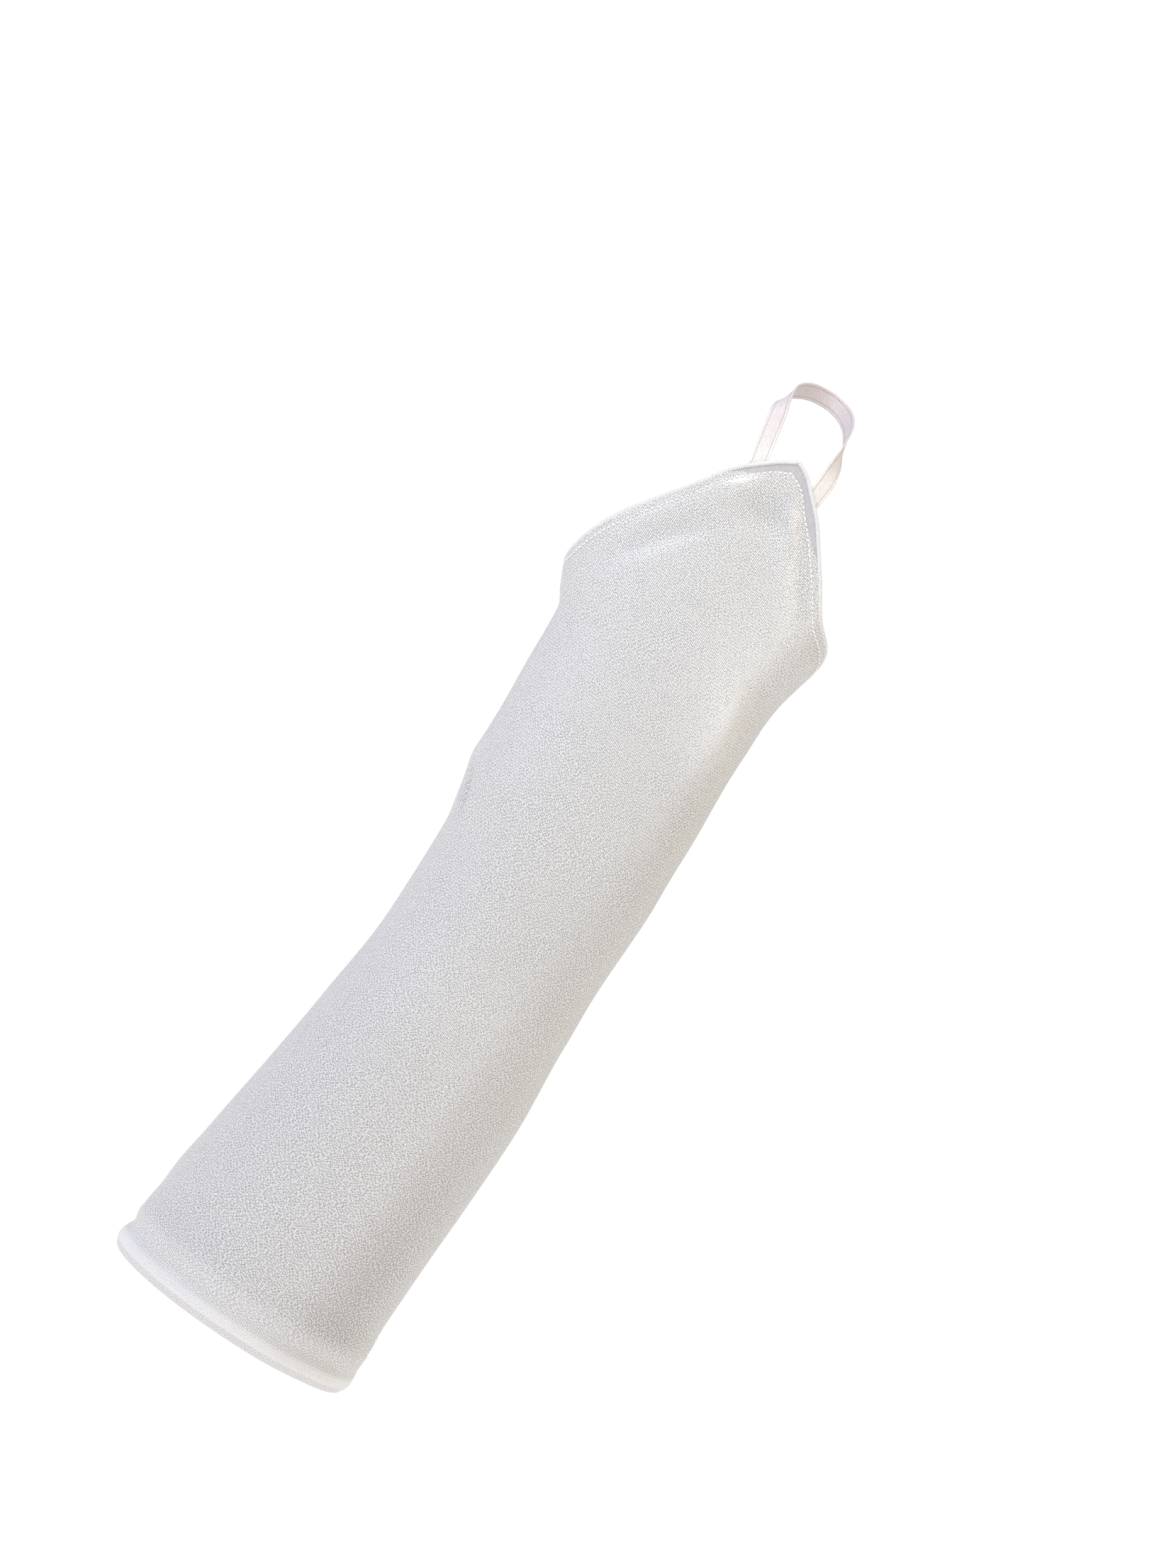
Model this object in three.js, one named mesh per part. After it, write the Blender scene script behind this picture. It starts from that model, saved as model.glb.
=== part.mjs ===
import * as THREE from "three";

// A child's long fingerless evening glove in white stretch satin, in the form that a right arm gives it.
// Millimetres. The origin is the middle of the arm opening, +Z runs along the arm to the fingers,
// -Y is the back of the hand and -X the thumb side.

// Heights above the arm opening
const pointHeight = 272.4; // the point over the knuckles
const palmEdgeHeight = 197; // the edge across the inside of the wrist

// Widths, thumb side to little-finger side, and depths, back to palm, of the worn sleeve
const elbowWidth = 70;
const elbowDepth = 63;
const forearmWidth = 58;
const forearmDepth = 49;
const wristWidth = 62.5;
const wristDepth = 37;
const handWidth = 73;
const handDepth = 35;
const knuckleWidth = 79;
const knuckleDepth = 30;

// Cloth
const clothWall = 1;
const sewnGap = 0.3; // between pieces that are sewn together

// Elbow hem: the sleeve's end turned up inside and stitched
const hemDepth = 13;
const hemTurnUp = 1.1; // the turned-up layer behind the cloth
const hemRoll = 1.6; // how far the fold at the rim stands out

// Hand edge: a narrow turned band with a ribbed rim
const bandWidth = 3;
const bandWall = 1.3;
const rimBead = 0.45; // how far the rim stands out on each side

// Ribbon loop for the middle finger
const ribbonWidth = 4.8;
const ribbonWall = 1;
const sewnLength = 7; // of each ribbon end, behind the hand edge
const legSpread = 16.2; // between the ribbon's two legs where they leave the edge
const loopWidth = 18.1; // between the legs at the root of the finger
const loopDepth = 19.5; // back of the finger to its palm side
const loopRise = 22.5; // edge to the root of the finger
const loopLean = -3.4; // towards the thumb, because the finger stands that way

// Steps of the faceted surfaces
const stepsRound = 52;
const sleeveRows = 35;
const ribbonSteps = 48;

// A section of the sleeve at each height, as a share of pointHeight. across and through are its width
// and depth; thumb and back are the shares of those on the thumb side and on the back of the hand.
const sections = [
  { at: 0, across: 1.007 * elbowWidth, through: 1.0 * elbowDepth, thumb: 0.5, back: 0.488 },
  { at: 0.04, across: 1.0 * elbowWidth, through: 0.995 * elbowDepth, thumb: 0.492, back: 0.488 },
  { at: 0.07, across: 0.999 * elbowWidth, through: 0.99 * elbowDepth, thumb: 0.489, back: 0.489 },
  { at: 0.15, across: 0.974 * elbowWidth, through: 0.965 * elbowDepth, thumb: 0.474, back: 0.492 },
  { at: 0.23, across: 0.94 * elbowWidth, through: 0.93 * elbowDepth, thumb: 0.45, back: 0.495 },
  { at: 0.315, across: 1.086 * forearmWidth, through: 1.13 * forearmDepth, thumb: 0.43, back: 0.498 },
  { at: 0.4, across: 1.014 * forearmWidth, through: 1.05 * forearmDepth, thumb: 0.424, back: 0.502 },
  { at: 0.46, across: 1.0 * forearmWidth, through: 1.0 * forearmDepth, thumb: 0.433, back: 0.506 },
  { at: 0.52, across: 1.012 * forearmWidth, through: 0.945 * forearmDepth, thumb: 0.44, back: 0.51 },
  { at: 0.553, across: 0.967 * wristWidth, through: 1.21 * wristDepth, thumb: 0.457, back: 0.512 },
  { at: 0.588, across: 0.989 * wristWidth, through: 1.165 * wristDepth, thumb: 0.479, back: 0.515 },
  { at: 0.645, across: 0.993 * wristWidth, through: 1.085 * wristDepth, thumb: 0.493, back: 0.518 },
  { at: 0.7, across: 0.993 * wristWidth, through: 1.02 * wristDepth, thumb: 0.512, back: 0.52 },
  { at: 0.752, across: 1.003 * wristWidth, through: 1.0 * wristDepth, thumb: 0.523, back: 0.515 },
  { at: 0.772, across: 0.896 * handWidth, through: 1.0 * handDepth, thumb: 0.544, back: 0.51 },
  { at: 0.797, across: 0.945 * handWidth, through: 1.0 * handDepth, thumb: 0.558, back: 0.5 },
  { at: 0.838, across: 1.0 * handWidth, through: 0.99 * handDepth, thumb: 0.552, back: 0.49 },
  { at: 0.9, across: 1.04 * handWidth, through: 0.95 * handDepth, thumb: 0.546, back: 0.475 },
  { at: 1, across: 1.0 * knuckleWidth, through: 1.0 * knuckleDepth, thumb: 0.54, back: 0.46 },
];

// How far the hand edge has dropped from the point, as a share of the drop to the palm, on each side.
// turn is the share of the half round from the back of the hand to the palm.
const edgeDrop = [
  { turn: 0, thumb: 0, little: 0 },
  { turn: 0.02, thumb: 0.01, little: 0.014 },
  { turn: 0.052, thumb: 0.062, little: 0.062 },
  { turn: 0.095, thumb: 0.142, little: 0.13 },
  { turn: 0.14, thumb: 0.243, little: 0.207 },
  { turn: 0.19, thumb: 0.339, little: 0.286 },
  { turn: 0.29, thumb: 0.497, little: 0.418 },
  { turn: 0.43, thumb: 0.684, little: 0.5 },
  { turn: 0.5, thumb: 0.74, little: 0.55 },
  { turn: 0.65, thumb: 0.86, little: 0.69 },
  { turn: 0.8, thumb: 0.945, little: 0.84 },
  { turn: 0.93, thumb: 0.993, little: 0.978 },
  { turn: 1, thumb: 1, little: 1 },
];

// Soft dents and swells of the cloth. at and tall are shares of pointHeight, turn and wide are shares of
// the whole round, towards the thumb first, slant carries the fold round as it climbs, and rise is in
// shares of wristDepth.
const folds = [
  { name: "wrist bone", at: 0.73, turn: -0.12, tall: 0.045, wide: 0.035, slant: 0, rise: 0.03 },
  { name: "thumb side crease", at: 0.575, turn: 0.205, tall: 0.03, wide: 0.02, slant: 0.25, rise: -0.03 },
  { name: "middle knuckle", at: 0.935, turn: -0.015, tall: 0.022, wide: 0.02, slant: 0, rise: 0.022 },
  { name: "dip under the point", at: 0.965, turn: -0.03, tall: 0.012, wide: 0.02, slant: 0, rise: -0.014 },
  { name: "inner wrist fold", at: 0.66, turn: 0.5, tall: 0.016, wide: 0.12, slant: 0.1, rise: -0.045 },
  { name: "inner wrist swell", at: 0.615, turn: 0.48, tall: 0.02, wide: 0.13, slant: 0.08, rise: 0.03 },
  { name: "inner forearm fold", at: 0.56, turn: 0.44, tall: 0.016, wide: 0.1, slant: 0.15, rise: -0.035 },
  { name: "elbow side swell", at: 0.1, turn: 0.27, tall: 0.03, wide: 0.06, slant: 0, rise: 0.015 },
];

// The hem's outer face above the sleeve's line, as shares of hemRoll, at shares of hemDepth
const hemShape = [
  { height: 0, proud: 0.25 },
  { height: 0.07, proud: 0.8 },
  { height: 0.22, proud: 1.0 },
  { height: 0.5, proud: 0.45 },
  { height: 0.84, proud: 0.75 },
  { height: 1, proud: 0.3 },
];
const hemInside = [1, 0.5, 0.1]; // shares of hemDepth where the inner face has a row

// The hand edge's section, from the stitched line to the rim. up is a share of bandWidth and proud is a
// share of rimBead, out from the cloth's outer face or in from the band's inner face.
const bandShape = [
  { up: 0, proud: 0.2 },
  { up: 0.3, proud: 0.55 },
  { up: 0.55, proud: 0.15 },
  { up: 0.78, proud: 1.0 },
  { up: 0.94, proud: 0.75 },
];

// One leg of the ribbon, from its sewn end to the middle of the palm side. rise is a share of loopRise
// above the edge, out is a share of the half width and deep is a share of loopDepth. thumb and little
// are the angles in degrees, on the two legs, from the back of the hand to where the outer face looks.
const ribbonLeg = [
  { rise: 0, out: 1.0, deep: 0, thumb: 0, little: 0 },
  { rise: 0.28, out: 1.0, deep: 0.0, thumb: 0, little: 16 },
  { rise: 0.58, out: 1.0, deep: 0.06, thumb: 12, little: 46 },
  { rise: 0.82, out: 1.0, deep: 0.27, thumb: 52, little: 72 },
  { rise: 0.95, out: 0.93, deep: 0.56, thumb: 96, little: 96 },
  { rise: 1.0, out: 0.62, deep: 0.87, thumb: 136, little: 136 },
  { rise: 1.0, out: 0.0, deep: 1.0, thumb: 180, little: 180 },
];

const sewnRows = [1, 0.45]; // shares of sewnLength below the edge, for the ribbon's sewn ends

const squareness = 2.2; // of each section, where 2 is an ellipse
const pointTurn = 0.004; // the point stands this far round towards the thumb
const crowding = 0.45; // of the steps round the sleeve, towards the point

const satin = new THREE.MeshStandardMaterial({ color: 0xdcdce2, roughness: 0.42, metalness: 0 });
const hemSatin = new THREE.MeshStandardMaterial({ color: 0xe2e2e4, roughness: 0.4, metalness: 0 });
const edgeSatin = new THREE.MeshStandardMaterial({ color: 0xe8e8ea, roughness: 0.45, metalness: 0 });
const ribbonSatin = new THREE.MeshStandardMaterial({ color: 0xeeeae4, roughness: 0.35, metalness: 0 });

// A smooth curve through one column of a table, with no overshoot between its rows
function curveThrough(rows, place, column) {
  const last = rows.length - 1;
  const slopeAfter = (i) => (rows[i + 1][column] - rows[i][column]) / (rows[i + 1][place] - rows[i][place]);
  const slopes = Array.from({ length: last }, (_, i) => slopeAfter(i));
  const tangents = rows.map((row, i) => {
    if (i === 0) return slopes[0];
    if (i === last) return slopes[last - 1];
    const [before, after] = [slopes[i - 1], slopes[i]];
    return before * after <= 0 ? 0 : (2 * before * after) / (before + after);
  });
  return (where) => {
    const x = THREE.MathUtils.clamp(where, rows[0][place], rows[last][place]);
    let i = 0;
    while (i < last - 1 && x > rows[i + 1][place]) i += 1;
    const gap = rows[i + 1][place] - rows[i][place];
    const t = (x - rows[i][place]) / gap;
    const [t2, t3] = [t * t, t * t * t];
    return (
      (2 * t3 - 3 * t2 + 1) * rows[i][column] +
      (t3 - 2 * t2 + t) * gap * tangents[i] +
      (3 * t2 - 2 * t3) * rows[i + 1][column] +
      (t3 - t2) * gap * tangents[i + 1]
    );
  };
}

const acrossAt = curveThrough(sections, "at", "across");
const throughAt = curveThrough(sections, "at", "through");
const thumbShareAt = curveThrough(sections, "at", "thumb");
const backShareAt = curveThrough(sections, "at", "back");
const thumbDrop = curveThrough(edgeDrop, "turn", "thumb");
const littleDrop = curveThrough(edgeDrop, "turn", "little");

// A share of the whole round as -0.5 to 0.5, with the thumb side positive
function signedTurn(turn) {
  return turn - Math.round(turn);
}

function foldRise(turn, height) {
  let rise = 0;
  for (const fold of folds) {
    const up = (height / pointHeight - fold.at) / fold.tall;
    const round = signedTurn(turn - fold.turn - fold.slant * (height / pointHeight - fold.at)) / fold.wide;
    rise += fold.rise * wristDepth * Math.exp(-up * up - round * round);
  }
  return rise;
}

// A point of the worn sleeve. turn is the share of the round from the point of the hand edge towards
// the thumb, and inward is the depth behind the cloth's outer face.
function sleevePoint(turn, height, inward) {
  const angle = 2 * Math.PI * (turn + pointTurn);
  const at = height / pointHeight;
  const depth = inward - foldRise(turn, height);
  const [side, front] = [Math.sin(angle), Math.cos(angle)];
  const sideShare = side > 0 ? thumbShareAt(at) : 1 - thumbShareAt(at);
  const frontShare = front > 0 ? backShareAt(at) : 1 - backShareAt(at);
  const sideRadius = acrossAt(at) * sideShare - depth;
  const frontRadius = throughAt(at) * frontShare - depth;
  const rounded = (part) => Math.sign(part) * Math.abs(part) ** (2 / squareness);
  return new THREE.Vector3(-sideRadius * rounded(side), -frontRadius * rounded(front), height);
}

function edgeHeight(turn) {
  const half = 2 * signedTurn(turn);
  const drop = half > 0 ? thumbDrop(half) : littleDrop(-half);
  return pointHeight - (pointHeight - palmEdgeHeight) * drop;
}

// How much longer a step down the arm is than a step square to the hand edge
function edgeSlant(turn) {
  const reach = 0.03; // share of the round, each way
  const steepness = (from, to) => {
    const [a, b] = [from, to].map((t) => sleevePoint(t, edgeHeight(t), 0));
    return Math.abs(b.z - a.z) / Math.hypot(b.x - a.x, b.y - a.y);
  };
  return Math.hypot(1, (steepness(turn - reach, turn) + steepness(turn, turn + reach)) / 2);
}

// Shares of the round, closer together near the point
function turnAt(step) {
  const share = step / stepsRound;
  return share - (crowding * Math.sin(2 * Math.PI * share)) / (2 * Math.PI);
}

function solidFrom(positions, triangles) {
  const geometry = new THREE.BufferGeometry();
  const numbers = positions.flatMap((position) => position.toArray());
  geometry.setAttribute("position", new THREE.Float32BufferAttribute(numbers, 3));
  geometry.setIndex(triangles);
  geometry.computeVertexNormals();
  return geometry;
}

// A closed band round the arm. sectionAt gives the points of its closed section at a share of the round,
// up the outer face and down the inner face.
function bandRound(sectionAt) {
  const rings = Array.from({ length: stepsRound }, (_, step) => sectionAt(turnAt(step)));
  const count = rings[0].length;
  const triangles = [];
  for (let step = 0; step < stepsRound; step += 1) {
    const [here, next] = [step * count, ((step + 1) % stepsRound) * count];
    for (let i = 0; i < count; i += 1) {
      const j = (i + 1) % count;
      triangles.push(here + i, here + j, next + i, next + i, here + j, next + j);
    }
  }
  return solidFrom(rings.flat(), triangles);
}

function sleeveSection(turn) {
  const foot = hemDepth + sewnGap;
  const top = edgeHeight(turn) - (bandWidth + sewnGap) * edgeSlant(turn);
  const rows = Array.from({ length: sleeveRows + 1 }, (_, row) => row / sleeveRows);
  const heights = rows.map((share) => THREE.MathUtils.lerp(foot, top, share));
  const outside = heights.map((height) => sleevePoint(turn, height, 0));
  const inside = heights.map((height) => sleevePoint(turn, height, clothWall)).reverse();
  return [...outside, ...inside];
}

function hemSection(turn) {
  const behind = clothWall + hemTurnUp;
  const outside = hemShape.map(({ height, proud }) => sleevePoint(turn, height * hemDepth, -hemRoll * proud));
  const inside = hemInside.map((height) => sleevePoint(turn, height * hemDepth, behind));
  const rimInside = sleevePoint(turn, 0, behind - hemTurnUp / 2);
  return [...outside, ...inside, rimInside];
}

function bandSection(turn) {
  const rim = edgeHeight(turn);
  const slant = edgeSlant(turn);
  const heightAt = (up) => rim - (1 - up) * bandWidth * slant;
  const outside = bandShape.map(({ up, proud }) => sleevePoint(turn, heightAt(up), -rimBead * proud));
  const crown = sleevePoint(turn, rim, bandWall / 2);
  const inside = bandShape.map(({ up, proud }) =>
    sleevePoint(turn, heightAt(up), bandWall + rimBead * proud),
  );
  return [...outside, crown, ...inside.reverse()];
}

// Where the ribbon's two legs leave the hand edge: the turn whose edge point lies at that distance
// from the point's line
function legTurn(side) {
  const aim = sleevePoint(0, pointHeight, 0).x - (side * legSpread) / 2;
  let [low, high] = [0, 0.2];
  while (high - low > 1e-9) {
    const middle = (low + high) / 2;
    const x = sleevePoint(side * middle, edgeHeight(side * middle), 0).x;
    if (side * (x - aim) > 0) low = middle;
    else high = middle;
  }
  return side * low;
}

// The ribbon's middle line and the way its outer face looks, from one sewn end round to the other
function ribbonRoute() {
  const behindBand = bandWall + rimBead + sewnGap + ribbonWall / 2;
  const legs = [1, -1].map((side) => {
    const turn = legTurn(side);
    const edge = edgeHeight(turn);
    const root = sleevePoint(turn, edge, behindBand);
    const sewn = sewnRows.map((share) => ({
      place: sleevePoint(turn, edge - share * sewnLength, behindBand),
      facing: 0,
    }));
    const free = ribbonLeg.map(({ rise, out, deep, thumb, little }) => {
      const halfWidth = THREE.MathUtils.lerp(legSpread, loopWidth, rise) / 2;
      const middle = root.x + (side * legSpread) / 2 + loopLean * rise;
      const place = new THREE.Vector3(
        middle - side * halfWidth * out,
        root.y + loopDepth * deep,
        edge + loopRise * rise,
      );
      return { place, facing: side > 0 ? thumb : -little };
    });
    return [...sewn, ...free];
  });
  const [thumbLeg, littleLeg] = legs;
  const end = thumbLeg.length - 1;
  thumbLeg[end].place.lerp(littleLeg[end].place, 0.5);
  const back = littleLeg.slice(0, end).reverse();
  return [...thumbLeg, ...back.map(({ place, facing }) => ({ place, facing: facing + 360 }))];
}

function fingerLoop() {
  const stops = ribbonRoute();
  const line = new THREE.CatmullRomCurve3(stops.map(({ place }) => place), false, "centripetal");
  const facings = stops.map(({ facing }, i) => ({ stop: i / (stops.length - 1), facing }));
  const facingAt = curveThrough(facings, "stop", "facing");
  const corners = [[-1, -1], [-1, 1], [1, 1], [1, -1]];
  const points = [];
  for (let step = 0; step <= ribbonSteps; step += 1) {
    const along = step / ribbonSteps;
    const tangent = line.getTangent(along);
    const turned = THREE.MathUtils.degToRad(facingAt(along));
    const looks = new THREE.Vector3(-Math.sin(turned), -Math.cos(turned), 0);
    const wide = new THREE.Vector3().crossVectors(tangent, looks).normalize();
    const out = new THREE.Vector3().crossVectors(wide, tangent).normalize();
    wide.multiplyScalar(ribbonWidth / 2);
    out.multiplyScalar(ribbonWall / 2);
    const middle = line.getPoint(along);
    for (const [w, t] of corners)
      points.push(middle.clone().addScaledVector(wide, w).addScaledVector(out, t));
  }
  const triangles = [];
  for (let step = 0; step < ribbonSteps; step += 1)
    for (let i = 0; i < 4; i += 1) {
      const j = (i + 1) % 4;
      const [here, next] = [4 * step, 4 * (step + 1)];
      triangles.push(here + i, here + j, next + i, here + j, next + j, next + i);
    }
  const last = 4 * ribbonSteps;
  triangles.push(0, 2, 1, 0, 3, 2, last, last + 1, last + 2, last, last + 2, last + 3);
  return solidFrom(points, triangles);
}

function piece(name, geometry, material) {
  const mesh = new THREE.Mesh(geometry, material);
  mesh.name = name;
  return mesh;
}

const glove = new THREE.Group();
glove.add(
  piece("satin_sleeve", bandRound(sleeveSection), satin),
  piece("elbow_hem", bandRound(hemSection), hemSatin),
  piece("hand_edge", bandRound(bandSection), edgeSatin),
  piece("finger_loop", fingerLoop(), ribbonSatin),
);

export default glove;
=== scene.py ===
# A child's long fingerless evening mitten in white stretch satin, in the form that a right arm gives it.
# Metres. The origin is the middle of the arm opening, +Z runs along the arm to the fingers,
# -Y is the back of the hand and -X the thumb side.
import math

import bmesh
import bpy
import numpy as np
from mathutils import Matrix, Vector


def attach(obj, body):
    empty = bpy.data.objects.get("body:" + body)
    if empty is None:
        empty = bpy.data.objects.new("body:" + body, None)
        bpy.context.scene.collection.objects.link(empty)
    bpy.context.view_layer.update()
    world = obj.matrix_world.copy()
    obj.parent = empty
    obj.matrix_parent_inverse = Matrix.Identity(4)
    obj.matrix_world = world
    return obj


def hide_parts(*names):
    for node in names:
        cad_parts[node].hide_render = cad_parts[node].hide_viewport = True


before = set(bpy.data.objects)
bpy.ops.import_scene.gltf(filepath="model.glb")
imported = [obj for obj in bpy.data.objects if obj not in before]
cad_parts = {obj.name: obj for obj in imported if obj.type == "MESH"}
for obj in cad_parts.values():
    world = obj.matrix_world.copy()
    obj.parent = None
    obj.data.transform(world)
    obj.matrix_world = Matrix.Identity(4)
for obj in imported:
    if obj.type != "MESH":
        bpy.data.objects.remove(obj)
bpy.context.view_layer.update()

MM = 0.001

# Heights above the arm opening
POINT_HEIGHT = 272.4 * MM
PALM_EDGE_HEIGHT = 197 * MM

# Widths, thumb side to little-finger side, and depths, back to palm, of the worn sleeve
ELBOW_WIDTH = 70 * MM
ELBOW_DEPTH = 63 * MM
FOREARM_WIDTH = 58 * MM
FOREARM_DEPTH = 49 * MM
WRIST_WIDTH = 62.5 * MM
WRIST_DEPTH = 37 * MM
HAND_WIDTH = 73 * MM
HAND_DEPTH = 35 * MM
KNUCKLE_WIDTH = 79 * MM
KNUCKLE_DEPTH = 30 * MM

# Cloth, its edges and its threads
SATIN_THICK = 0.55 * MM
HEM_DEPTH = 13 * MM
HEM_ROLL = 1.6 * MM
BAND_WIDTH = 3.3 * MM
BAND_THICK = 0.8 * MM
BAND_INSET = 0.3 * MM  # of the band, under the rim and under the satin's face
BAND_WALE = 0.55 * MM  # from one faint rib of the band to the next
RIM_RADIUS = 0.58 * MM
RIM_CORE = 0.78  # of RIM_RADIUS, between its ribs
RIB_RISE = 0.3  # of RIM_RADIUS
RIM_PROUD = 1.1  # how much farther the rim reaches out of the cloth than along it
RIM_INSET = 0.35 * MM
RIM_FIBRE = 0.09 * MM
RIB_PITCH = 0.43 * MM
RIB_LEAN = 0.9  # of a rib's pitch, over one turn round the rim
STITCH_PITCH = 1.38 * MM
STITCH_LENGTH = 0.98 * MM
STITCH_RADIUS = 0.26 * MM
STITCH_DIP = 0.3 * MM  # of its ends, into the cloth
STITCH_OUT = 0.16 * MM  # of its middle, from the cloth
RIBBON_WIDTH = 4.8 * MM
RIBBON_THICK = 0.32 * MM
RIBBON_LENGTH = 94 * MM
WARPS = 34  # across the ribbon
WEFT_PITCH = 0.16 * MM
FLOAT_LENGTH = 0.5 * MM
HOLE_PITCH = 0.62 * MM
HOLE_ROW = 0.335  # of the ribbon's width, from its middle

# The knit: columns of loops, called wales, round the whole arm, and the length of one loop along it
WALES = 372
LOOP_LENGTH = 0.75 * MM

# A section of the sleeve at each height, as a share of POINT_HEIGHT. across and through are its width
# and depth; thumb and back are the shares of those on the thumb side and on the back of the hand.
SECTIONS = [
    dict(at=0, across=1.007 * ELBOW_WIDTH, through=1.0 * ELBOW_DEPTH, thumb=0.5, back=0.488),
    dict(at=0.04, across=1.0 * ELBOW_WIDTH, through=0.995 * ELBOW_DEPTH, thumb=0.492, back=0.488),
    dict(at=0.07, across=0.999 * ELBOW_WIDTH, through=0.99 * ELBOW_DEPTH, thumb=0.489, back=0.489),
    dict(at=0.15, across=0.974 * ELBOW_WIDTH, through=0.965 * ELBOW_DEPTH, thumb=0.474, back=0.492),
    dict(at=0.23, across=0.94 * ELBOW_WIDTH, through=0.93 * ELBOW_DEPTH, thumb=0.45, back=0.495),
    dict(at=0.315, across=1.086 * FOREARM_WIDTH, through=1.13 * FOREARM_DEPTH, thumb=0.43, back=0.498),
    dict(at=0.4, across=1.014 * FOREARM_WIDTH, through=1.05 * FOREARM_DEPTH, thumb=0.424, back=0.502),
    dict(at=0.46, across=1.0 * FOREARM_WIDTH, through=1.0 * FOREARM_DEPTH, thumb=0.433, back=0.506),
    dict(at=0.52, across=1.012 * FOREARM_WIDTH, through=0.945 * FOREARM_DEPTH, thumb=0.44, back=0.51),
    dict(at=0.553, across=0.967 * WRIST_WIDTH, through=1.21 * WRIST_DEPTH, thumb=0.457, back=0.512),
    dict(at=0.588, across=0.989 * WRIST_WIDTH, through=1.165 * WRIST_DEPTH, thumb=0.479, back=0.515),
    dict(at=0.645, across=0.993 * WRIST_WIDTH, through=1.085 * WRIST_DEPTH, thumb=0.493, back=0.518),
    dict(at=0.7, across=0.993 * WRIST_WIDTH, through=1.03 * WRIST_DEPTH, thumb=0.512, back=0.517),
    dict(at=0.752, across=1.003 * WRIST_WIDTH, through=0.99 * WRIST_DEPTH, thumb=0.523, back=0.512),
    dict(at=0.772, across=0.896 * HAND_WIDTH, through=1.03 * HAND_DEPTH, thumb=0.544, back=0.508),
    dict(at=0.797, across=0.945 * HAND_WIDTH, through=1.015 * HAND_DEPTH, thumb=0.558, back=0.502),
    dict(at=0.838, across=1.0 * HAND_WIDTH, through=0.99 * HAND_DEPTH, thumb=0.552, back=0.49),
    dict(at=0.9, across=1.04 * HAND_WIDTH, through=0.95 * HAND_DEPTH, thumb=0.546, back=0.475),
    dict(at=1, across=1.0 * KNUCKLE_WIDTH, through=1.0 * KNUCKLE_DEPTH, thumb=0.54, back=0.46),
]

# How far the hand edge has dropped from the point, as a share of the drop to the palm, on each side.
# turn is the share of the half round from the back of the hand to the palm.
EDGE_DROP = [
    dict(turn=0, thumb=0, little=0),
    dict(turn=0.008, thumb=0.0125, little=0.01),
    dict(turn=0.02, thumb=0.028, little=0.024),
    dict(turn=0.052, thumb=0.074, little=0.07),
    dict(turn=0.095, thumb=0.142, little=0.13),
    dict(turn=0.14, thumb=0.243, little=0.207),
    dict(turn=0.19, thumb=0.339, little=0.286),
    dict(turn=0.29, thumb=0.497, little=0.418),
    dict(turn=0.43, thumb=0.684, little=0.5),
    dict(turn=0.5, thumb=0.74, little=0.55),
    dict(turn=0.65, thumb=0.86, little=0.69),
    dict(turn=0.8, thumb=0.945, little=0.84),
    dict(turn=0.93, thumb=0.993, little=0.978),
    dict(turn=1, thumb=1, little=1),
]

# Soft dents and swells of the cloth. at and tall are shares of POINT_HEIGHT, turn and wide are shares of
# the whole round, towards the thumb first, slant carries the fold round as it climbs, and rise is in
# shares of WRIST_DEPTH.
FOLDS = [
    dict(name="wrist bone", at=0.73, turn=-0.12, tall=0.045, wide=0.035, slant=0, rise=0.03),
    dict(name="thumb side crease", at=0.56, turn=0.185, tall=0.02, wide=0.011, slant=0.5, rise=-0.04),
    dict(name="above the crease", at=0.592, turn=0.212, tall=0.018, wide=0.02, slant=0.3, rise=0.022),
    dict(name="dip under the point", at=0.94, turn=-0.006, tall=0.021, wide=0.03, slant=0, rise=-0.034),
    dict(name="thumb side pucker", at=0.949, turn=0.03, tall=0.014, wide=0.011, slant=-0.6, rise=0.026),
    dict(name="little side pucker", at=0.945, turn=-0.027, tall=0.014, wide=0.008, slant=0.6, rise=0.04),
    dict(name="little finger ridge", at=0.9, turn=-0.051, tall=0.05, wide=0.011, slant=0.78, rise=0.012),
    dict(name="hollow by the ridge", at=0.9, turn=-0.08, tall=0.045, wide=0.013, slant=0.85, rise=-0.014),
    dict(name="little knuckle swell", at=0.79, turn=-0.09, tall=0.08, wide=0.055, slant=0.1, rise=0.034),
    dict(name="hollow to the thumb", at=0.87, turn=0.07, tall=0.045, wide=0.02, slant=-0.93, rise=-0.018),
    dict(name="inner wrist fold", at=0.66, turn=0.5, tall=0.016, wide=0.12, slant=0.1, rise=-0.045),
    dict(name="inner wrist swell", at=0.615, turn=0.48, tall=0.02, wide=0.13, slant=0.08, rise=0.03),
    dict(name="inner forearm fold", at=0.56, turn=0.44, tall=0.016, wide=0.1, slant=0.15, rise=-0.035),
    dict(name="forearm edge", at=0.26, turn=-0.07, tall=0.16, wide=0.025, slant=-0.05, rise=0.014),
    dict(name="forearm hollow", at=0.1, turn=-0.13, tall=0.15, wide=0.045, slant=-0.08, rise=-0.042),
    dict(name="forearm swell", at=0.385, turn=-0.02, tall=0.05, wide=0.15, slant=0, rise=0.009),
    dict(name="elbow side swell", at=0.1, turn=0.27, tall=0.03, wide=0.06, slant=0, rise=0.015),
]

# How square each section is, where 2 is an ellipse. The hand is flatter than the arm.
SQUARENESS = [
    dict(at=0, of=2.05),
    dict(at=0.45, of=2.15),
    dict(at=0.62, of=2.35),
    dict(at=0.78, of=2.3),
    dict(at=0.86, of=2.4),
    dict(at=1, of=2.35),
]
ROUND_STEP = 2 / 2.2  # spreads the turns of a section a little towards its flat front and back
POINT_TURN = 0.004  # the point stands this far round towards the thumb
CROWDING = 0.45  # of the columns of faces, towards the point


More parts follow.
